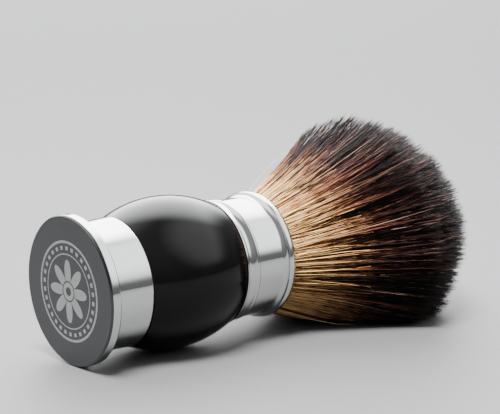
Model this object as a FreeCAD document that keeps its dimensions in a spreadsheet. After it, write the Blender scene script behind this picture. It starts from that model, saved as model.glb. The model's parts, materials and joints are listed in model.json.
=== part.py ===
import FreeCAD, Part
import math
import os
import re
from collections import namedtuple

import Sketcher

# A badger shaving brush, lying on its side on a flat surface, in millimetres.
# Every piece is first made upright about its own Z axis, with height 0 at the flat face of the base
# cap and the hair upwards. One placement then lays them all down: the handle's axis runs towards +X,
# the brush rests on the rim of its base cap and on the belly of its barrel, and +Z is up.

DIMENSIONS = [
    # base cap: a plated disc with a spigot and a threaded boss behind it
    ("face_radius", 16.0),
    ("rim_radius", 16.85),
    ("rim_rear_radius", 16.4),
    ("rim_foot", 0.6),
    ("rim_head", 2.15),
    ("rim_front_bow_radius", 16.64),
    ("rim_front_bow_height", 0.15),
    ("rim_rear_bow_radius", 16.73),
    ("rim_rear_bow_height", 2.45),
    ("cap_thick", 2.6),
    ("cap_floor", 1.8),
    ("spigot_radius", 12.0),
    ("spigot_wall", 1.2),
    ("spigot_top", 4.4),
    ("cap_boss_radius", 5.0),
    ("cap_boss_top", 9.2),
    ("cap_bore_floor", 3.0),
    ("thread_radius", 3.05),
    # soft washer in the groove behind the cap
    ("seal_foot", 2.65),
    ("seal_head", 2.95),
    ("seal_bore", 12.3),
    ("seal_radius", 14.0),
    # lower ring: a plated sleeve whose neck reaches up into the barrel
    ("ring_foot", 3.0),
    ("ring_head", 12.45),
    ("ring_foot_radius", 14.3),
    ("ring_head_radius", 14.75),
    ("ring_bore", 12.3),
    ("ring_deck", 10.6),
    ("neck_radius", 8.8),
    ("neck_bore", 7.0),
    ("web_foot", 18.0),
    ("neck_head", 20.0),
    ("web_bore", 3.2),
    ("edge_round", 0.35),
    # barrel and the two thin gaskets at its ends
    ("barrel_foot", 12.75),
    ("barrel_head", 38.15),
    ("barrel_foot_radius", 14.46),
    ("belly_radius", 17.57),
    ("belly_height", 25.2),
    ("barrel_head_radius", 14.83),
    ("cavity_radius", 9.0),
    ("cavity_head", 32.0),
    ("barrel_bore", 5.5),
    ("barrel_edge_round", 0.21),
    ("lower_gasket_radius", 14.3),
    ("upper_gasket_radius", 14.6),
    # upper collar: flange, cove, bead, plain band and flared lip, with the knot's socket inside
    ("collar_foot", 38.43),
    ("flange_radius", 14.83),
    ("flange_head", 38.85),
    ("cove_radius", 13.5),
    ("cove_height", 40.4),
    ("bead_foot", 41.9),
    ("bead_head", 42.9),
    ("bead_radius", 14.28),
    ("band_radius", 14.0),
    ("band_head", 49.6),
    ("flare_bow", 0.25),
    ("lip_radius", 15.1),
    ("lip_foot", 50.8),
    ("lip_head", 52.5),
    ("lip_round", 0.8),
    ("mouth_height", 52.9),
    ("mouth_radius", 13.7),
    ("socket_head", 50.4),
    ("socket_radius", 12.3),
    ("socket_floor", 42.3),
    ("collar_boss_radius", 5.2),
    ("collar_boss_foot", 33.5),
    ("collar_bore_top", 41.0),
    # tie rod with its nut and washers
    ("rod_radius", 3.0),
    ("rod_foot", 3.9),
    ("rod_head", 40.5),
    ("rod_chamfer", 0.5),
    ("nut_foot", 9.6),
    ("nut_height", 5.2),
    ("nut_flats", 10.0),
    ("nut_blank_radius", 5.882),
    ("nut_chamfer", 0.45),
    ("washer_thick", 1.6),
    ("washer_radius", 6.0),
    ("lock_washer_radius", 5.9),
    ("lock_washer_slit", 0.8),
    # balance weight on its sleeve, with a damping pad above it
    ("weight_foot", 20.1),
    ("weight_head", 30.6),
    ("weight_radius", 8.7),
    ("weight_bore", 4.5),
    ("weight_chamfer", 0.8),
    ("sleeve_bore", 3.1),
    ("sleeve_radius", 4.4),
    ("sleeve_head", 33.3),
    ("pad_head", 31.9),
    ("pad_radius", 8.8),
    # the glued knot: adhesive bed, cup, resin plug, thread binding and hair
    ("bed_radius", 12.25),
    ("bed_head", 47.0),
    ("cup_foot", 43.1),
    ("cup_floor", 43.9),
    ("cup_head", 48.4),
    ("cup_radius", 11.8),
    ("cup_bore", 11.1),
    ("plug_radius", 11.0),
    ("plug_head", 47.6),
    ("waist_radius", 10.2),
    ("waist_foot", 44.6),
    ("waist_head", 46.8),
    ("thread_wrap_radius", 10.6),
    ("thread_thick", 0.66),
    ("thread_pitch", 0.7),
    ("thread_height", 45.0),
    ("hair_foot", 47.7),
    ("hair_root_radius", 10.8),
    ("hair_exit_radius", 13.2),
    ("fan_waist_radius", 20.3),
    ("fan_waist_height", 68.5),
    ("fan_radius", 29.7),
    ("fan_height", 84.2),
    ("shoulder_radius", 26.6),
    ("shoulder_height", 94.2),
    ("crown_radius", 20.6),
    ("crown_curve", 26.9),
    ("tip_height", 112.4),
]

doc = FreeCAD.newDocument("shaving_brush")
dims = doc.addObject("Spreadsheet::Sheet", "dims")
for row, (alias, size) in enumerate(DIMENSIONS, start=1):
    dims.set(f"A{row}", alias)
    dims.set(f"B{row}", str(size))
    dims.setAlias(f"B{row}", alias)
doc.recompute()

Via = namedtuple("Via", "radius height")   # the middle point of an arc between two corners
SAME_POINT = 1e-4
SAME_RADIUS = 1e-3
subparts = []


def bound(text):
    """Turn 'cap_thick / 2' into an expression on the sheet's cells."""
    return re.sub(r"[a-z][a-z_]+", lambda word: "dims." + word.group(), text)


def bind(item, **sizes):
    for name, text in sizes.items():
        item.setExpression(name, bound(text))


def cell(alias):
    return float(getattr(dims, alias))


# ---- sketching a turned piece -----------------------------------------------------------------

def constrain_place(sketch, geometry, point, radius, height):
    """Hold one sketch point at a radius and a height taken from the sheet."""
    for direction, axis, text in (("DistanceX", -2, radius), ("DistanceY", -1, height)):
        if text == "0":
            sketch.addConstraint(Sketcher.Constraint("PointOnObject", geometry, point, axis))
            continue
        size = float(sketch.evalExpression(bound(text)))
        index = sketch.addConstraint(
            Sketcher.Constraint(direction, -1, 1, geometry, point, size))
        sketch.setExpression(f"Constraints[{index}]", bound(text))


def draw_outline(sketch, outline):
    """Draw a closed outline of straight lines, and of arcs where a Via stands between corners."""
    corners = []
    middles = []
    for place in outline:
        if isinstance(place, Via):
            middles[-1] = place
        else:
            corners.append(place)
            middles.append(None)

    def point(place):
        radius, height = (float(sketch.evalExpression(bound(text))) for text in place)
        return FreeCAD.Vector(radius, height, 0)

    edges = []
    for index, corner in enumerate(corners):
        start = point(corner)
        end = point(corners[(index + 1) % len(corners)])
        if middles[index]:
            edge = sketch.addGeometry(Part.Arc(start, point(middles[index]), end), False)
        else:
            edge = sketch.addGeometry(Part.LineSegment(start, end), False)
        # the sketcher keeps arcs anticlockwise, so an arc's first vertex may be its far end
        turned_round = sketch.getPoint(edge, 1).distanceToPoint(start) > SAME_POINT
        edges.append((edge, 2, 1) if turned_round else (edge, 1, 2))
    for index, corner in enumerate(corners):
        edge, first, last = edges[index]
        following, following_first, _ = edges[(index + 1) % len(edges)]
        sketch.addConstraint(
            Sketcher.Constraint("Coincident", edge, last, following, following_first))
        constrain_place(sketch, edge, first, *corner)
        if middles[index]:
            pin = sketch.addGeometry(Part.Point(point(middles[index])), True)
            constrain_place(sketch, pin, 1, *middles[index])
            sketch.addConstraint(Sketcher.Constraint("PointOnObject", pin, 1, edge))


def turned(name, *outline):
    """A body turned about Z from an outline of (radius, height) corners."""
    body = doc.addObject("PartDesign::Body", name)
    plane = next(item for item in body.Origin.OriginFeatures if item.Role == "XZ_Plane")
    sketch = body.newObject("Sketcher::SketchObject", name + "_outline")
    sketch.AttachmentSupport = [(plane, "")]
    sketch.MapMode = "FlatFace"
    draw_outline(sketch, outline)
    turn = body.newObject("PartDesign::Revolution", name + "_turn")
    turn.Profile = sketch
    turn.ReferenceAxis = (sketch, ["V_Axis"])
    turn.Angle = 360
    doc.recompute()
    return body


def round_edges(body, size, *radii):
    """Round the circular edges of a turned body that have one of these radii."""
    turn = body.Tip
    wanted = [cell(alias) for alias in radii]
    names = []
    for number, edge in enumerate(turn.Shape.Edges, start=1):
        if isinstance(edge.Curve, Part.Circle):
            if any(abs(edge.Curve.Radius - radius) < SAME_RADIUS for radius in wanted):
                names.append(f"Edge{number}")
    rounding = body.newObject("PartDesign::Fillet", body.Name + "_rounding")
    rounding.Base = (turn, names)
    bind(rounding, Radius=size)
    doc.recompute()


def keep(piece):
    """Count this as one of the brush's separate pieces."""
    subparts.append(piece)
    return piece


# ---- base cap and its soft washer --------------------------------------------------------------

base_cap = keep(turned(
    "base_cap",
    ("0", "0"), ("face_radius", "0"),
    Via("rim_front_bow_radius", "rim_front_bow_height"),
    ("rim_radius", "rim_foot"), ("rim_radius", "rim_head"),
    Via("rim_rear_bow_radius", "rim_rear_bow_height"),
    ("rim_rear_radius", "cap_thick"),
    ("spigot_radius", "cap_thick"), ("spigot_radius", "spigot_top"),
    ("spigot_radius - spigot_wall", "spigot_top"), ("spigot_radius - spigot_wall", "cap_floor"),
    ("cap_boss_radius", "cap_floor"), ("cap_boss_radius", "cap_boss_top"),
    ("thread_radius", "cap_boss_top"), ("thread_radius", "cap_bore_floor"),
    ("0", "cap_bore_floor")))

keep(turned(
    "cap_washer",
    ("seal_bore", "seal_foot"), ("seal_radius", "seal_foot"),
    ("seal_radius", "seal_head"), ("seal_bore", "seal_head")))

# ---- lower ring and the gasket under the barrel ------------------------------------------------

lower_ring = keep(turned(
    "lower_ring",
    ("ring_bore", "ring_foot"), ("ring_foot_radius", "ring_foot"),
    ("ring_head_radius", "ring_head"), ("neck_radius", "ring_head"),
    ("neck_radius", "neck_head"), ("web_bore", "neck_head"),
    ("web_bore", "web_foot"), ("neck_bore", "web_foot"),
    ("neck_bore", "ring_deck"), ("ring_bore", "ring_deck")))
round_edges(lower_ring, "edge_round", "ring_foot_radius", "ring_head_radius")

keep(turned(
    "lower_gasket",
    ("cavity_radius", "ring_head"), ("lower_gasket_radius", "ring_head"),
    ("lower_gasket_radius", "barrel_foot"), ("cavity_radius", "barrel_foot")))

# ---- barrel ------------------------------------------------------------------------------------

barrel = keep(turned(
    "barrel",
    ("cavity_radius", "barrel_foot"), ("barrel_foot_radius", "barrel_foot"),
    Via("belly_radius", "belly_height"),
    ("barrel_head_radius", "barrel_head"), ("barrel_bore", "barrel_head"),
    ("barrel_bore", "cavity_head"), ("cavity_radius", "cavity_head")))
round_edges(barrel, "barrel_edge_round", "barrel_foot_radius", "barrel_head_radius")

# ---- upper collar and the gasket under it ------------------------------------------------------

keep(turned(
    "upper_gasket",
    ("barrel_bore", "barrel_head"), ("upper_gasket_radius", "barrel_head"),
    ("upper_gasket_radius", "collar_foot"), ("barrel_bore", "collar_foot")))

keep(turned(
    "upper_collar",
    ("thread_radius", "collar_boss_foot"), ("collar_boss_radius", "collar_boss_foot"),
    ("collar_boss_radius", "collar_foot"), ("flange_radius", "collar_foot"),
    ("flange_radius", "flange_head"),
    Via("cove_radius", "cove_height"),
    ("band_radius", "bead_foot"),
    Via("bead_radius", "(bead_foot + bead_head) / 2"),
    ("band_radius", "bead_head"), ("band_radius", "band_head"),
    Via("band_radius + flare_bow", "(band_head + lip_foot) / 2 + flare_bow / 2"),
    ("lip_radius - lip_round / 5", "lip_foot"),
    Via("lip_radius", "(lip_foot + lip_head) / 2"),
    ("lip_radius - lip_round / 4", "lip_head"),
    Via("lip_radius - lip_round / 2", "mouth_height - lip_round / 8"),
    ("lip_radius - lip_round", "mouth_height"),
    ("mouth_radius", "mouth_height"), ("socket_radius", "socket_head"),
    ("socket_radius", "socket_floor"), ("0", "socket_floor"),
    ("0", "collar_bore_top"), ("thread_radius", "collar_bore_top")))

# ---- tie rod, nut and washers ------------------------------------------------------------------

keep(turned(
    "tie_rod",
    ("0", "rod_foot"), ("rod_radius - rod_chamfer", "rod_foot"),
    ("rod_radius", "rod_foot + rod_chamfer"), ("rod_radius", "rod_head - rod_chamfer"),
    ("rod_radius - rod_chamfer", "rod_head"), ("0", "rod_head")))

nut_blank = turned(
    "nut_blank",
    ("thread_radius", "nut_foot"), ("nut_flats / 2", "nut_foot"),
    ("nut_blank_radius", "nut_foot + nut_chamfer"),
    ("nut_blank_radius", "nut_foot + nut_height - nut_chamfer"),
    ("nut_flats / 2", "nut_foot + nut_height"), ("thread_radius", "nut_foot + nut_height"))
nut_hexagon = doc.addObject("Part::Prism", "nut_hexagon")
nut_hexagon.Polygon = 6
bind(nut_hexagon, Circumradius="nut_flats / 3^0.5", Height="nut_foot + nut_height")
tie_nut = doc.addObject("Part::Common", "tie_nut")
tie_nut.Base = nut_blank
tie_nut.Tool = nut_hexagon
keep(tie_nut)

lock_washer_foot = "nut_foot + nut_height"
lock_washer_head = "web_foot - washer_thick"
lock_washer_ring = turned(
    "lock_washer_ring",
    ("thread_radius", lock_washer_foot), ("lock_washer_radius", lock_washer_foot),
    ("lock_washer_radius", lock_washer_head), ("thread_radius", lock_washer_head))
lock_washer_cut = doc.addObject("Part::Box", "lock_washer_cut")
bind(lock_washer_cut, Length="washer_radius * 2", Width="lock_washer_slit", Height="web_foot")
lock_washer = doc.addObject("Part::Cut", "lock_washer")
lock_washer.Base = lock_washer_ring
lock_washer.Tool = lock_washer_cut
keep(lock_washer)

keep(turned(
    "flat_washer",
    ("web_bore", lock_washer_head), ("washer_radius", lock_washer_head),
    ("washer_radius", "web_foot"), ("web_bore", "web_foot")))

# ---- balance weight, its sleeve and its damping pad --------------------------------------------

keep(turned(
    "balance_weight",
    ("weight_bore", "weight_foot"), ("weight_radius - weight_chamfer", "weight_foot"),
    ("weight_radius", "weight_foot + weight_chamfer"),
    ("weight_radius", "weight_head - weight_chamfer"),
    ("weight_radius - weight_chamfer", "weight_head"), ("weight_bore", "weight_head")))

keep(turned(
    "weight_sleeve",
    ("sleeve_bore", "weight_foot"), ("sleeve_radius", "weight_foot"),
    ("sleeve_radius", "sleeve_head"), ("sleeve_bore", "sleeve_head")))

keep(turned(
    "damping_pad",
    ("weight_bore", "weight_head"), ("pad_radius", "weight_head"),
    ("pad_radius", "pad_head"), ("weight_bore", "pad_head")))

# ---- the knot in its socket --------------------------------------------------------------------

keep(turned(
    "adhesive_bed",
    ("0", "socket_floor"), ("bed_radius", "socket_floor"), ("bed_radius", "bed_head"),
    ("cup_radius", "bed_head"), ("cup_radius", "cup_foot"), ("0", "cup_foot")))

keep(turned(
    "knot_cup",
    ("0", "cup_foot"), ("cup_radius", "cup_foot"), ("cup_radius", "cup_head"),
    ("cup_bore", "cup_head"), ("cup_bore", "cup_floor"), ("0", "cup_floor")))

keep(turned(
    "knot_plug",
    ("0", "cup_floor"), ("plug_radius", "cup_floor"), ("plug_radius", "waist_foot"),
    ("waist_radius", "waist_foot"), ("waist_radius", "waist_head"),
    ("plug_radius", "waist_head"), ("plug_radius", "plug_head"), ("0", "plug_head")))

thread_turns = 3
wraps = []
for turn_number in range(thread_turns):
    wrap = doc.addObject("Part::Torus", f"wrap_{turn_number}")
    bind(wrap, Radius1="thread_wrap_radius", Radius2="thread_thick / 2")
    wrap.setExpression("Placement.Base.z", bound(f"thread_height + {turn_number} * thread_pitch"))
    wraps.append(wrap)
knot_binding = doc.addObject("Part::Compound", "knot_binding")
knot_binding.Links = wraps
keep(knot_binding)

# the crown of the fan is part of a ball centred on the axis
crown_centre = "tip_height - crown_curve"
hair_fan = turned(
    "hair_fan",
    ("0", "hair_foot"), ("hair_root_radius", "hair_foot"), ("hair_root_radius", "cup_head"),
    ("hair_exit_radius", "mouth_height"),
    Via("fan_waist_radius", "fan_waist_height"),
    ("fan_radius", "fan_height"),
    Via("shoulder_radius", "shoulder_height"),
    ("crown_radius", f"{crown_centre} + (crown_curve^2 - crown_radius^2)^0.5"),
    Via("crown_radius / 2", f"{crown_centre} + (crown_curve^2 - (crown_radius / 2)^2)^0.5"),
    ("0", "tip_height"))

# ---- laying the brush down ---------------------------------------------------------------------

# it rests on the cap's rim and on the barrel's belly, so its axis rises a little towards the hair
rise = cell("belly_radius") - cell("rim_radius")
reach = cell("belly_height") - cell("cap_thick") / 2
tilt = math.degrees(math.atan(rise / reach))
laid_down = FreeCAD.Placement(
    FreeCAD.Vector(0, 0, 0), FreeCAD.Rotation(FreeCAD.Vector(0, 1, 0), 90 - tilt))
laid = subparts + [hair_fan]


def lay(pieces, placement):
    for piece in pieces:
        piece.Placement = placement
    doc.recompute()


lay(laid, laid_down)
laid_down.Base.z = -min(piece.Shape.optimalBoundingBox(False).ZMin for piece in (base_cap, barrel))
lay(laid, laid_down)

# the surface that the brush lies on presses the hair flat
surface = doc.addObject("Part::Box", "surface")
bind(surface, Length="tip_height * 2", Width="tip_height", Height="fan_radius")
surface.Placement.Base = FreeCAD.Vector(
    -cell("tip_height"), -cell("tip_height") / 2, -cell("fan_radius"))
hair_knot = doc.addObject("Part::Cut", "hair_knot")
hair_knot.Base = hair_fan
hair_knot.Tool = surface
keep(hair_knot)
doc.recompute()

low_x = min(piece.Shape.optimalBoundingBox(False).XMin for piece in subparts)
high_x = max(piece.Shape.optimalBoundingBox(False).XMax for piece in subparts)
laid_down.Base.x = -(low_x + high_x) / 2
lay(laid, laid_down)

# ---- checks and files --------------------------------------------------------------------------

for item in doc.Objects:
    if "Invalid" in item.State or "Error" in item.State:
        raise RuntimeError(f"{item.Name} failed: {item.State}")
for piece in subparts:
    if piece.Shape.isNull() or not piece.Shape.isValid():
        raise RuntimeError(f"{piece.Label} has no valid shape")

os.makedirs("parts", exist_ok=True)
for piece in subparts:
    piece.Shape.exportStep(f"parts/{piece.Label}.step")
    box = piece.Shape.optimalBoundingBox(False)
    print(f"{piece.Label:16s} {len(piece.Shape.Solids)} solid(s) {piece.Shape.Volume:9.1f} mm3"
          f"  x {box.XMin:7.2f} {box.XMax:7.2f}  z {box.ZMin:6.3f} {box.ZMax:6.2f}")
print(f"tilt {tilt:.4f} degrees, base face centre at "
      f"{laid_down.Base.x:.4f}, {laid_down.Base.y:.4f}, {laid_down.Base.z:.4f}")
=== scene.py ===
import json
import math

import bpy
import numpy as np
from mathutils import Matrix, Vector


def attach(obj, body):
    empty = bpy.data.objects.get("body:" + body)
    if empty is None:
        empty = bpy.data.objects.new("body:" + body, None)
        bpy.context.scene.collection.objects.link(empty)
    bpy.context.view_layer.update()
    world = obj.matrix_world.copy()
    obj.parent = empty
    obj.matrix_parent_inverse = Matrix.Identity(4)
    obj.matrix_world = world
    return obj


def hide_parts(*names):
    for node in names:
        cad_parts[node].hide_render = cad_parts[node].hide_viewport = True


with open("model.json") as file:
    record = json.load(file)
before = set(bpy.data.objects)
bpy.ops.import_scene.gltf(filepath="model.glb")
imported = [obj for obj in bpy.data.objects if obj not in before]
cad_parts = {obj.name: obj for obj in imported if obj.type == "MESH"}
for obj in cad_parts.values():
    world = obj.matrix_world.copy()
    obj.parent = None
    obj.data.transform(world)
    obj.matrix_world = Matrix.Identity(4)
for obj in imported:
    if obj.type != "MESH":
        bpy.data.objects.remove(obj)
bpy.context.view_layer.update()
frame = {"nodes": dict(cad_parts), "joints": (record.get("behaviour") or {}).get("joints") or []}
bpy.ops.object.select_all(action="DESELECT")

# ---- Camera -----------------------------------------------------------------------------------
# A long lens looks down a little at the lying brush, from the side of its base cap, so that the
# cap's face, the barrel and the fan of hair are all seen.

camera_aim = Vector((-0.00483, 0.0, 0.02982))
camera_turn = math.radians(-39.34)
camera_rise = math.radians(9.99)
camera_distance = 0.371

camera = bpy.data.objects.new("camera", bpy.data.cameras.new("camera"))
bpy.context.scene.collection.objects.link(camera)
camera.data.lens = 112.9
camera.data.sensor_width = 36.0
camera.data.clip_start = 0.01
camera_back = Vector((
    math.sin(camera_turn) * math.cos(camera_rise),
    -math.cos(camera_turn) * math.cos(camera_rise),
    math.sin(camera_rise)))
camera.location = camera_aim + camera_back * camera_distance
camera.rotation_euler = camera_back.to_track_quat("Z", "Y").to_euler()
bpy.context.scene.camera = camera

# ---- Base cap ---------------------------------------------------------------------------------
# A cast zinc disc, nickel and chrome plated. Its rim is polished bright, and its flat face is left
# satin and laser-marked with a ring of dots round a rosette. It screws on to the tie rod.


class Value:
    """A socket of a material's nodes; arithmetic on values adds the Math nodes for it."""

    def __init__(self, tree, socket):
        self.tree = tree
        self.socket = socket

    def node(self, kind, given, output=0, stops=(), **settings):
        """Adds a node: its settings and ramp stops first, then its sockets' values or links."""
        made = self.tree.nodes.new("ShaderNode" + kind)
        for name, setting in settings.items():
            setattr(made, name, setting)
        for index, (place, colour) in enumerate(stops):
            ramp = made.color_ramp.elements
            stop = ramp[index] if index < len(ramp) else ramp.new(place)
            stop.position = place
            stop.color = (*colour, 1.0)
        for name, value in given.items():
            if isinstance(value, Value):
                self.tree.links.new(value.socket, made.inputs[name])
            else:
                made.inputs[name].default_value = value
        return Value(self.tree, made.outputs[output])

    def maths(self, operation, *others):
        return self.node("Math", dict(enumerate((self, *others))), operation=operation)

    def __add__(self, other):
        return self.maths("ADD", other)

    def __sub__(self, other):
        return self.maths("SUBTRACT", other)

    def __rsub__(self, other):
        return self.node("Math", {0: other, 1: self}, operation="SUBTRACT")

    def __mul__(self, other):
        return self.maths("MULTIPLY", other)

    def __lt__(self, other):
        return self.maths("LESS_THAN", other)

    def __gt__(self, other):
        return self.maths("GREATER_THAN", other)

    def __abs__(self):
        return self.maths("ABSOLUTE")

    __radd__ = __add__
    __rmul__ = __mul__

    def noise(self, scale, detail=3.0, roughness=0.5):
        return self.node("TexNoise", {
            "Vector": self, "Scale": scale, "Detail": detail, "Roughness": roughness})

    def blend(self, low, high):
        """This value as a mask between two colours."""
        return self.node("Mix", {0: self, 6: low, 7: high}, output=2, data_type="RGBA")

    def between(self, low, high, start=0.0, stop=1.0, curve="LINEAR"):
        """Spreads this value, which runs from start to stop, from low to high."""
        return self.node("MapRange", {0: self, 1: start, 2: stop, 3: low, 4: high},
                         interpolation_type=curve)

    def bump(self, strength, distance):
        return self.node("Bump", {
            "Height": self, "Strength": strength, "Distance": distance})


def new_finish(name, **constants):
    """A material whose Principled shader has these constants, and its Object coordinates."""
    material = bpy.data.materials.new(name)
    material.use_nodes = True
    shader = material.node_tree.nodes["Principled BSDF"]
    for socket, value in constants.items():
        shader.inputs[socket.replace("_", " ")].default_value = value
    start = Value(material.node_tree, None)
    return material, start.node("TexCoord", {}, output="Object")


def feed(material, **values):
    shader = material.node_tree.nodes["Principled BSDF"]
    for socket, value in values.items():
        material.node_tree.links.new(value.socket, shader.inputs[socket.replace("_", " ")])


def wear(node, material):
    """Gives a CAD node this material in all of its slots."""
    piece = frame["nodes"][node]
    if not piece.material_slots:
        piece.data.materials.append(material)
    for slot in piece.material_slots:
        slot.material = material


screw = next(joint for joint in frame["joints"] if joint["name"] == "cap_screw")
face_centre = Vector(screw["pos_m"])
brush_axis = -Vector(screw["axis"]).normalized()
lean = math.acos(brush_axis.z)


def upright(place):
    """Coordinates in millimetres on the brush's own axis: z is the height above the base face."""
    stood = place.node("Mapping", {
        "Vector": place, "Location": face_centre, "Rotation": (0.0, lean, 0.0)},
        vector_type="TEXTURE")
    scaled = place.node("VectorMath", {"Vector": stood, "Scale": 1000.0}, operation="SCALE")
    return scaled, [place.node("SeparateXYZ", {0: scaled}, output=part) for part in range(3)]


def off_axis(down, across):
    """Distance from the brush's axis."""
    return (down * down + across * across).maths("SQRT")


bright_metal = (0.60, 0.605, 0.61, 1.0)
satin_metal = (0.096, 0.097, 0.099, 1.0)
dull_satin = (0.066, 0.067, 0.069, 1.0)
marked_metal = (0.42, 0.422, 0.425, 1.0)
face_head = 0.42
mark_rings = ((11.0, 0.28), (8.3, 0.14))
dot_ring = 9.65
dot_half = 0.42
dot_count = 30.0
dot_gap = 0.1
rosette_eye = 0.99
rosette_core = 2.2
rosette_line = 0.16
rosette_petal = 4.9
petal_count = 8.0

cap_finish, place = new_finish("cap_plating", Metallic=1.0)
stood, (down, across, height) = upright(place)
radius = off_axis(down, across)
angle = across.maths("ARCTAN2", down)
on_face = height < face_head
petals = abs((angle * (petal_count / 2.0)).maths("COSINE"))
rosette = (radius < rosette_core + petals * rosette_petal) * (radius > rosette_eye)
rosette = rosette * (abs(radius - rosette_core) > rosette_line)
dots = (angle * dot_count).maths("COSINE") > dot_gap
mark = dots * (abs(radius - dot_ring) < dot_half)
for ring_radius, ring_half in mark_rings:
    mark = mark + (abs(radius - ring_radius) < ring_half)
mark = (mark + rosette).maths("MINIMUM", 1.0) * on_face
grain = stood.noise(0.9, detail=4.0)
turning = place.node("CombineXYZ", {0: radius * 6.0}).noise(3.0, detail=2.0)
brushed = place.node("CombineXYZ", {0: across * 7.0, 1: down * 0.35}).noise(2.0, detail=4.0)
clouded = brushed.blend(dull_satin, satin_metal)
feed(cap_finish,
     Base_Color=mark.blend(on_face.blend(bright_metal, clouded), marked_metal),
     Roughness=on_face * (0.17 + turning * 0.05) + mark * 0.22 + grain.between(0.03, 0.07),
     Normal=(turning * on_face - mark * 0.6).bump(0.12, 0.00004))
wear("base_cap", cap_finish)

# ---- Lower ring and upper collar --------------------------------------------------------------
# Two turned fittings with the same bright chrome plating. The ring is a slightly conical sleeve
# under the barrel, and the collar holds the knot above it. Polishing leaves faint hazy patches.


def polished_chrome(name, haze, joints):
    """Chrome with a dark line of painted shade round its outer edge at each of these heights."""
    material, place = new_finish(name, Metallic=1.0)
    stood, (down, across, height) = upright(place)
    patches = stood.noise(0.35, detail=3.0, roughness=0.6)
    # A dark line of painted shade round the outer edge at each joint, where the parts meet.
    joint_shade = off_axis(down, across) > joint_shade_radius
    joint_shade = joint_shade * sum(abs(height - joint) < joint_shade_half for joint in joints)
    feed(material,
         Base_Color=joint_shade.blend(patches.blend(hazy_plate, clean_plate), joint_shade_black),
         Roughness=patches.between(0.025, haze),
         Normal=stood.noise(1.6, detail=1.0).bump(0.03, 0.00005))
    return material


hazy_plate = (0.57, 0.575, 0.58, 1.0)
clean_plate = (0.64, 0.642, 0.645, 1.0)
# The painted joint shade: its near-black colour, its half width along the axis in mm, and the
# radius outside which it lies.
joint_shade_black = (0.02, 0.02, 0.02, 1.0)
joint_shade_half = 0.24
joint_shade_radius = 14.12
cap_joint, barrel_foot, barrel_head = 3.0, 12.45, 38.43
wear("lower_ring", polished_chrome("ring_chrome", 0.075, (cap_joint, barrel_foot)))
wear("upper_collar", polished_chrome("collar_chrome", 0.065, (barrel_head,)))

# ---- Barrel -----------------------------------------------------------------------------------
# A turned bar of black cast resin, polished to a deep gloss. Under the gloss it is not quite even,
# with faint cloudy swirls from casting, and its surface has a very slight ripple.

barrel_finish, place = new_finish(
    "black_cast_resin", IOR=1.5, Specular_IOR_Level=0.17)
stood, _ = upright(place)
swirl = stood.noise(0.16, detail=5.0, roughness=0.6)
feed(barrel_finish,
     Base_Color=swirl.blend((0.0012, 0.0012, 0.0013, 1.0), (0.0030, 0.0029, 0.0030, 1.0)),
     Roughness=stood.noise(0.5, detail=2.0).between(0.03, 0.09),
     Normal=stood.noise(0.45, detail=1.0).bump(0.02, 0.0002))
wear("barrel", barrel_finish)

# ---- Gaskets, washer and pad ------------------------------------------------------------------
# Thin black rubber: the washer in the groove behind the cap, the gasket at each end of the barrel,
# and the pad above the balance weight. Moulded rubber is matt, with a fine dusty bloom.

rubber, place = new_finish("black_rubber", Specular_IOR_Level=0.3)
stood, _ = upright(place)
bloom = stood.noise(1.2, detail=6.0, roughness=0.65)
feed(rubber,
     Base_Color=bloom.blend((0.006, 0.006, 0.006, 1.0), (0.02, 0.02, 0.021, 1.0)),
     Roughness=bloom.between(0.55, 0.8),
     Normal=stood.noise(6.0).bump(0.25, 0.00003))
for node in ("cap_washer", "lower_gasket", "upper_gasket", "damping_pad"):
    wear(node, rubber)

# ---- Tie rod, nut, washers and weight ---------------------------------------------------------
# Steel inside the handle. The rod, nut and washers are bright zinc plated, and the weight is a
# plain turned slug with an oily, darker surface.


def plain_steel(name, low, high, roughest):
    material, place = new_finish(name, Metallic=1.0)
    stood, (_, _, height) = upright(place)
    lines = place.node("CombineXYZ", {2: height * 9.0}).noise(2.0, detail=3.0)
    patina = stood.noise(0.8, detail=4.0)
    feed(material,
         Base_Color=patina.blend(low, high),
         Roughness=lines.between(0.22, roughest),
         Normal=lines.bump(0.3, 0.00005))
    return material


zinc_plate = plain_steel("zinc_plated_steel", (0.48, 0.49, 0.50, 1.0), (0.62, 0.62, 0.60, 1.0), 0.4)
for node in ("tie_rod", "tie_nut", "lock_washer", "flat_washer"):
    wear(node, zinc_plate)
wear("balance_weight", plain_steel(
    "oiled_steel", (0.22, 0.22, 0.23, 1.0), (0.34, 0.33, 0.32, 1.0), 0.5))

# ---- Nylon sleeve and knot cup ----------------------------------------------------------------
# White moulded nylon, slightly waxy. The sleeve centres the weight on the rod, and the cup holds
# the root of the knot.

nylon, place = new_finish(
    "white_nylon", Subsurface_Weight=0.1, Subsurface_Scale=0.001)
stood, _ = upright(place)
waxy = stood.noise(0.7, detail=4.0)
feed(nylon,
     Base_Color=waxy.blend((0.68, 0.66, 0.60, 1.0), (0.80, 0.79, 0.75, 1.0)),
     Roughness=waxy.between(0.35, 0.5),
     Normal=stood.noise(4.0).bump(0.1, 0.00003))
wear("weight_sleeve", nylon)
wear("knot_cup", nylon)

# ---- Adhesive, resin plug and binding ---------------------------------------------------------
# What holds the knot: a bed of cured epoxy in the socket, a cast amber plug through the hair's
# root, and a few turns of waxed cotton thread round it.

epoxy, place = new_finish("cured_epoxy")
stood, _ = upright(place)
flow = stood.noise(0.6, detail=5.0)
feed(epoxy,
     Base_Color=flow.blend((0.55, 0.47, 0.30, 1.0), (0.70, 0.62, 0.44, 1.0)),
     Roughness=flow.between(0.15, 0.35))
wear("adhesive_bed", epoxy)

amber, place = new_finish("amber_resin")
stood, _ = upright(place)
depth = stood.noise(0.4, detail=5.0)
feed(amber,
     Base_Color=depth.blend((0.16, 0.06, 0.012, 1.0), (0.36, 0.17, 0.04, 1.0)),
     Roughness=depth.between(0.08, 0.25))
wear("knot_plug", amber)

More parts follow.
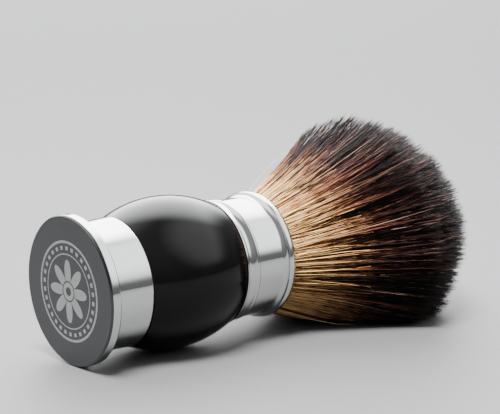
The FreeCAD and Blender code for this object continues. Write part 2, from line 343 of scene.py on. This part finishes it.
waxed_thread, place = new_finish("waxed_thread", Sheen_Weight=0.3)
_, (down, across, height) = upright(place)
strand = (across.maths("ARCTAN2", down) * 120.0 + height * 9.0).maths("SINE")
# Painted light and shade: each turn of thread is lighter on its upper side and darker in the groove
# below it; the same stripes set its roughness.
painted_turn_shading = strand * 0.5 + 0.5
feed(waxed_thread,
     Base_Color=painted_turn_shading.blend((0.42, 0.34, 0.21, 1.0), (0.70, 0.61, 0.44, 1.0)),
     Roughness=painted_turn_shading.between(0.5, 0.75),
     Normal=strand.bump(0.5, 0.0001))
wear("knot_binding", waxed_thread)

# ---- Heart of the knot ------------------------------------------------------------------------
# The middle of the knot, which takes the place of the imported one, where hair lies so close that
# it reads as one mass. It is a little smaller than the fan of loose hair that covers it, and it is
# coloured darker than that hair, as painted shade of the packed inside.


def along_axis(node):
    """The lowest and highest height of a CAD node on the brush's axis, and its largest radius."""
    corners = np.array([vertex.co for vertex in frame["nodes"][node].data.vertices])
    offsets = corners - np.array(face_centre)
    heights = offsets @ np.array(brush_axis)
    radii = np.linalg.norm(offsets - heights[:, None] * np.array(brush_axis), axis=1)
    return heights.min(), heights.max(), radii.max()


_, hair_tip, fan_radius = along_axis("hair_knot")
_, mouth, _ = along_axis("upper_collar")
hair_foot = mouth - 0.0035
foot_radius = 0.0114
corner_height = hair_tip - 0.0282
crown_power = 1.63
lowest_hair = 0.00012


def crown_height(radius):
    """Height of the fan's domed end at a radius from the axis."""
    share = np.clip(radius / fan_radius, 0.0, 1.0)
    rise = (1.0 - share ** crown_power) ** (1.0 / crown_power)
    return corner_height + (hair_tip - corner_height) * rise


def press_down(points, softness=0.0016):
    """Bends what would go below the surface so that it lies flat on it."""
    pressed = points.copy()
    over = (points[..., 2] - lowest_hair) / softness
    pressed[..., 2] = lowest_hair + softness * np.logaddexp(0.0, over - 0.6)
    return pressed


heart_radius = fan_radius * 0.62
heart_foot_radius = foot_radius * 0.9
heart_shoulder = corner_height - 0.003
heart_cover = 0.011
heart_sides = 48
heart_steps = 14
heart_lowest = 0.0009
bpy.ops.mesh.primitive_circle_add(
    vertices=heart_sides, radius=heart_foot_radius, fill_type="NGON",
    location=(0.0, 0.0, hair_foot))
heart = bpy.context.object
heart.name = "knot_heart"
bpy.ops.object.transform_apply(location=True, rotation=False, scale=False)
bpy.ops.object.mode_set(mode="EDIT")
heart_profile = []
for step in range(1, heart_steps + 1):
    share = step / heart_steps
    heart_profile.append((
        heart_foot_radius + (heart_radius - heart_foot_radius) * (0.62 * share + 0.38 * share ** 2),
        hair_foot + (heart_shoulder - hair_foot) * share))
for step in range(1, heart_steps + 1):
    share = max(math.cos(step / heart_steps * math.pi / 2), 0.02)
    heart_profile.append((heart_radius * share, crown_height(fan_radius * share) - heart_cover))
last_radius = heart_foot_radius
last_height = hair_foot
for ring, height in heart_profile:
    bpy.ops.mesh.extrude_region_move(
        TRANSFORM_OT_translate={"value": (0.0, 0.0, height - last_height)})
    bpy.ops.transform.resize(value=(ring / last_radius,) * 3, center_override=(0, 0, height))
    last_radius = ring
    last_height = height
bpy.ops.mesh.select_all(action="SELECT")
bpy.ops.mesh.normals_make_consistent(inside=False)
bpy.ops.object.mode_set(mode="OBJECT")
bpy.ops.object.shade_smooth()
lay_down = Matrix.Translation(face_centre) @ Matrix.Rotation(lean, 4, "Y")
heart.data.transform(lay_down)
flat = np.array([vertex.co for vertex in heart.data.vertices])
flat[:, 2] = np.maximum(flat[:, 2], heart_lowest)
heart.data.vertices.foreach_set("co", flat.ravel())
heart.data.update()

heart_finish, place = new_finish("packed_hair", Specular_IOR_Level=0.2)
_, (down, across, height) = upright(place)
around = across.maths("ARCTAN2", down)
fibres = place.node("CombineXYZ", {0: around * 14.0, 1: height * 0.05}).noise(2.0, detail=6.0)
# Tone runs from brown at the root to near black at the tips, as the hair's own colour, and stays
# darker than the loose hair throughout, as painted shade.
shade = (height + fibres * 16.0).between(0.0, 1.0, start=58.0, stop=88.0)
feed(heart_finish,
     Base_Color=shade.node("ValToRGB", {0: shade}, stops=(
         (0.0, (0.22, 0.12, 0.05)), (0.5, (0.05, 0.022, 0.012)), (1.0, (0.006, 0.004, 0.004)))),
     Roughness=fibres.between(0.6, 0.9),
     Normal=fibres.bump(0.6, 0.0004))
heart.data.materials.append(heart_finish)
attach(heart, "handle")
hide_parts("hair_knot")

# ---- Hair -------------------------------------------------------------------------------------
# Many thousands of single hairs, tan at the root and nearly black at the tip, with some reddish
# and some pale ones; the pale hairs and the brown hairs' lighter tips are partly painted glints.
# They fan out of the collar, gather in small tufts, and lie flat below.

hair_count = 24500
hair_locks = 7
# one hair: rings along its length, sides round it, and its half width in metres
hair_rings = 9
hair_sides = 3
hair_half = 0.000072
hair_girths = (0.75, 1.2)
girth_places, girth_profile = (0.0, 0.6, 0.96, 1.0), (0.9, 1.0, 0.8, 0.0)
last_ring = 0.965
ring_jitter = 0.035
# how the hairs stray from an even fan, as shares of its radius
root_jitter = 0.006
aim_jitter = 0.08
aim_limit = 1.02
wild_share = 0.16
wild_jitter = 0.13
wild_pull = 0.2
# how each one bows and ripples, in metres
sway_size = 0.00035
stray_share = 0.003
stray_sway = 10.0
ripple_size = 0.00022
ripple_turns = (2.0, 4.0)
# tufts from fine to coarse, and how strongly each kind gathers its hairs
tufts_and_pulls = ((5200, 0.42), (1500, 0.3), (130, 0.16))
pull_range = (0.4, 1.2)
tuft_jitter = 0.35
tuft_tone_share = 0.38
# lengths, as shares of the way from the root to the fan's end
usual_reach = 1.035
longest_reach = 1.052
tuft_reach_jitter = 0.012
usual_shortfall, most_shortfall = 0.014, 0.25
early_spread = 0.72
band_jitter = 0.06
draw = np.random.default_rng(7)

# each tone's colours from root to tip
hair_tones = {
    "tan": ((0.0, (248, 208, 142)), (0.24, (240, 196, 130)), (0.40, (192, 144, 94)),
            (0.50, (110, 72, 48)), (0.61, (44, 26, 21)), (0.74, (12, 7, 7)), (1.0, (8, 5, 5))),
    "dark": ((0.0, (142, 98, 54)), (0.20, (84, 52, 30)), (0.34, (34, 19, 14)),
             (0.48, (9, 5, 5)), (1.0, (5, 3, 3))),
    # Brown hairs: a real tone of hair, and their lighter tips in the dark crown are partly painted
    # glints.
    "brown": ((0.0, (240, 194, 132)), (0.35, (186, 138, 98)), (0.52, (112, 76, 60)),
              (0.72, (70, 46, 41)), (1.0, (34, 22, 20))),
    # Pale hairs, drawn thinner: partly a real light tone of hair and partly painted glints.
    "pale": ((0.0, (250, 216, 160)), (0.35, (226, 186, 146)), (0.6, (186, 150, 130)),
             (0.85, (150, 120, 110)), (1.0, (96, 76, 70))),
    "red": ((0.0, (234, 182, 122)), (0.30, (192, 130, 88)), (0.55, (122, 70, 56)),
            (0.75, (74, 40, 35)), (1.0, (34, 18, 17))),
}
tone_shares = (0.44, 0.26, 0.14, 0.09, 0.07)
tuft_tone_shares = (0.50, 0.29, 0.15, 0.0, 0.06)
tone_girths = (1.0, 1.0, 0.95, 0.55, 0.9)
tone_steps = 12

hair_palette = []
for tone, stops in hair_tones.items():
    places = [place for place, _ in stops]
    channels = (np.array([colour for _, colour in stops]) / 255.0) ** 2.2
    for step in range(tone_steps):
        colour = [np.interp((step + 0.5) / tone_steps, places, channel) for channel in channels.T]
        material, _ = new_finish(
            f"hair_{tone}_{step}", Base_Color=(*colour, 1.0), Roughness=0.45,
            Specular_IOR_Level=0.16)
        hair_palette.append(material)


def nearest(points, centres, batch=2000):
    """For each point, the index of the nearest centre."""
    found = np.empty(len(points), int)
    for start in range(0, len(points), batch):
        gap = points[start:start + batch, None, :] - centres[None, :, :]
        found[start:start + batch] = (gap ** 2).sum(2).argmin(1)
    return found


def sunflower(count):
    """Evenly spread places in a disc of radius 1."""
    index = np.arange(count) + 0.5
    radius = np.sqrt(index / count)
    turn = index * math.pi * (3.0 - math.sqrt(5.0))
    return np.stack([radius * np.cos(turn), radius * np.sin(turn)], axis=1)


roots = sunflower(hair_count) + draw.normal(0.0, root_jitter, (hair_count, 2))
roots /= np.maximum(1.0, np.linalg.norm(roots, axis=1))[:, None]
aims = roots + draw.normal(0.0, aim_jitter, (hair_count, 2))
wild = draw.random(hair_count) < wild_share
aims[wild] += draw.normal(0.0, wild_jitter, (wild.sum(), 2))
aims /= np.maximum(1.0, np.linalg.norm(aims, axis=1) / aim_limit)[:, None]
gather = np.zeros((hair_count, 2))
tuft_tones = []
reach = np.full(hair_count, usual_reach)
for tuft_count, pull in tufts_and_pulls:
    jitter = tuft_jitter / math.sqrt(tuft_count)
    tufts = sunflower(tuft_count) + draw.normal(0.0, jitter, (tuft_count, 2))
    chosen = nearest(aims, tufts)
    tuft_tones.append(draw.choice(len(hair_tones), tuft_count, p=tuft_tone_shares)[chosen])
    pulls = pull * draw.uniform(*pull_range, tuft_count)[chosen]
    pulls[wild] *= wild_pull
    gather += (tufts[chosen] - aims) * pulls[:, None]
    reach *= draw.normal(1.0, tuft_reach_jitter, tuft_count)[chosen]
reach = np.minimum(reach, longest_reach)
reach *= 1.0 - np.minimum(draw.exponential(usual_shortfall, hair_count), most_shortfall)

ring_places = np.append(np.linspace(0.0, last_ring, hair_rings), 1.0)
ring_shift = draw.uniform(-ring_jitter, ring_jitter, hair_count)
share = ring_places[None, :] + ring_shift[:, None] * np.sin(math.pi * ring_places)[None, :]
length_share = share * reach[:, None]
spread = early_spread * length_share + (1.0 - early_spread) * length_share ** 2
plan = (roots[:, None, :] * foot_radius * (1.0 - spread)[:, :, None]
        + aims[:, None, :] * fan_radius * spread[:, :, None]
        + gather[:, None, :] * fan_radius * (length_share ** 3)[:, :, None])
aim_height = crown_height(np.linalg.norm(aims, axis=1) * fan_radius)
height = hair_foot + (aim_height - hair_foot)[:, None] * length_share
sway = draw.normal(0.0, sway_size, (hair_count, 2))
stray = draw.random(hair_count) < stray_share
sway[stray] *= stray_sway
bow = np.sin(math.pi * share)
ripple = draw.normal(0.0, ripple_size, (hair_count, 2))
wave = np.sin(math.pi * share * draw.uniform(*ripple_turns, hair_count)[:, None]) * share
plan += sway[:, None, :] * bow[:, :, None] + ripple[:, None, :] * wave[:, :, None]
centre = np.concatenate([plan, height[:, :, None]], axis=2)
lay_matrix = np.array(lay_down)
centre = centre @ lay_matrix[:3, :3].T + lay_matrix[:3, 3]
centre = press_down(centre)

heading = np.gradient(centre, axis=1)
heading /= np.linalg.norm(heading, axis=2)[:, :, None]
sideways = np.cross(heading, np.array([0.0, 0.0, 1.0]))
sideways /= np.linalg.norm(sideways, axis=2)[:, :, None]
upwards = np.cross(sideways, heading)
tone = draw.choice(len(hair_tones), hair_count, p=tone_shares)
alike = draw.random(hair_count) < tuft_tone_share
finest_tufts = tuft_tones[0]
tone[alike] = finest_tufts[alike]
tone[stray] = list(hair_tones).index("pale")
girth = hair_half * draw.uniform(*hair_girths, hair_count) * np.array(tone_girths)[tone]
thick = girth[:, None] * np.interp(ring_places, girth_places, girth_profile)[None, :]
corner_turns = np.arange(hair_sides) * 2.0 * math.pi / hair_sides
corners = centre[:, :, None, :] + thick[:, :, None, None] * (
    sideways[:, :, None, :] * np.cos(corner_turns)[None, None, :, None]
    + upwards[:, :, None, :] * np.sin(corner_turns)[None, None, :, None])

band_shift = draw.normal(0.0, band_jitter, hair_count)
turn_share = (np.arctan2(roots[:, 1], roots[:, 0]) + math.pi) / (2.0 * math.pi)
sector = np.minimum((turn_share * hair_locks).astype(int), hair_locks - 1)

# one hair: rings of corners joined by four-sided faces, a pointed tip and a closed root
needle = []
tip_vertex = hair_rings * hair_sides
for ring in range(hair_rings):
    for side in range(hair_sides):
        here = ring * hair_sides + side
        ahead = ring * hair_sides + (side + 1) % hair_sides
        if ring < hair_rings - 1:
            needle.append((here, ahead, ahead + hair_sides, here + hair_sides))
        else:
            needle.append((here, ahead, tip_vertex))
needle.append(tuple(reversed(range(hair_sides))))
needle_ring = np.array([min(face) // hair_sides for face in needle])
loops = np.concatenate([np.array(face) for face in needle])
sizes = np.array([len(face) for face in needle])
needle_vertices = tip_vertex + 1

for part in range(hair_locks):
    members = np.flatnonzero(sector == part)
    count = len(members)
    vertices = np.concatenate([
        corners[members, :hair_rings].reshape(count, -1, 3), centre[members, hair_rings:]], axis=1)
    mesh = bpy.data.meshes.new(f"hair_lock_{part}")
    mesh.vertices.add(count * needle_vertices)
    mesh.vertices.foreach_set("co", vertices.astype(np.float32).ravel())
    mesh.loops.add(count * len(loops))
    mesh.polygons.add(count * len(needle))
    offsets = np.arange(count)[:, None] * needle_vertices
    mesh.loops.foreach_set("vertex_index", (loops[None, :] + offsets).ravel())
    starts = np.concatenate([[0], np.cumsum(np.tile(sizes, count))[:-1]])
    mesh.polygons.foreach_set("loop_start", starts)
    for material in hair_palette:
        mesh.materials.append(material)
    middle = (share[members][:, needle_ring] + share[members][:, needle_ring + 1]) / 2.0
    step = np.clip((middle + band_shift[members][:, None]) * tone_steps, 0, tone_steps - 1)
    index = tone[members][:, None] * tone_steps + step.astype(int)
    mesh.polygons.foreach_set("material_index", index.ravel())
    mesh.polygons.foreach_set("use_smooth", np.ones(count * len(needle), bool))
    mesh.update(calc_edges=True)
    mesh.validate()
    lock = bpy.data.objects.new(f"hair_lock_{part}", mesh)
    bpy.context.scene.collection.objects.link(lock)
    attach(lock, "handle")

# ---- Floor and lights -------------------------------------------------------------------------
# A plain matt surface under the brush, a soft light overhead, and a studio sky that grows brighter
# upwards. Three broad bright patches of the sky are what the plating and the gloss reflect.

bpy.ops.mesh.primitive_plane_add(size=6.0, location=(0.0, 0.0, 0.0))
floor = bpy.context.object
floor.name = "floor"
floor_finish, place = new_finish("pale_surface", Specular_IOR_Level=0.3)
speckle = place.noise(900.0, detail=4.0)
feed(floor_finish,
     Base_Color=speckle.blend((0.088, 0.088, 0.089, 1.0), (0.112, 0.112, 0.113, 1.0)),
     Roughness=speckle.between(0.5, 0.7),
     Normal=speckle.bump(0.2, 0.0002))
floor.data.materials.append(floor_finish)


top_light = bpy.data.objects.new("top_light", bpy.data.lights.new("top_light", "AREA"))
bpy.context.scene.collection.objects.link(top_light)
top_light.data.shape = "SQUARE"
top_light.data.size = 0.26
top_light.data.energy = 26.0
top_light.location = (-0.19, -0.11, 0.64)
top_light.rotation_euler = (
    Vector(top_light.location) - camera_aim).to_track_quat("Z", "Y").to_euler()
top_light.visible_glossy = False

world = bpy.data.worlds.new("studio")
bpy.context.scene.world = world
world.use_nodes = True
sky = Value(world.node_tree, None)
direction = sky.node("TexCoord", {}, output="Generated")
elevation = sky.node("SeparateXYZ", {0: direction}, output=2)
glow = elevation.between(0.20, 0.40, start=0.0, stop=0.5, curve="SMOOTHSTEP")
above = elevation.between(0.0, 1.0, start=0.10, stop=0.30, curve="SMOOTHSTEP")
endways = sky.node("SeparateXYZ", {0: direction}, output=0)
flag = endways.between(0.0, 1.0, start=0.90, stop=0.70, curve="SMOOTHSTEP")
sky_patches = (
    ((0.52, 0.61, 0.60), 0.95, 0.70, 12.0),
    ((-0.38, 0.66, 0.65), 0.92, 0.60, 3.0),
    ((0.62, -0.45, 0.64), 0.97, 0.72, 2.6))
for aim, inner, outer, strength in sky_patches:
    facing = sky.node("VectorMath", {0: direction, 1: aim}, output=1, operation="DOT_PRODUCT")
    patch = facing.between(0.0, strength, start=outer, stop=inner, curve="SMOOTHSTEP")
    glow = glow + patch * above * flag
backdrop_glow = 0.8
seen = sky.node("LightPath", {}, output="Is Camera Ray")
glow = glow + seen * (backdrop_glow - glow)
background = world.node_tree.nodes["Background"]
world.node_tree.links.new(glow.socket, background.inputs["Strength"])
background.inputs["Color"].default_value = (0.98, 0.99, 1.0, 1.0)
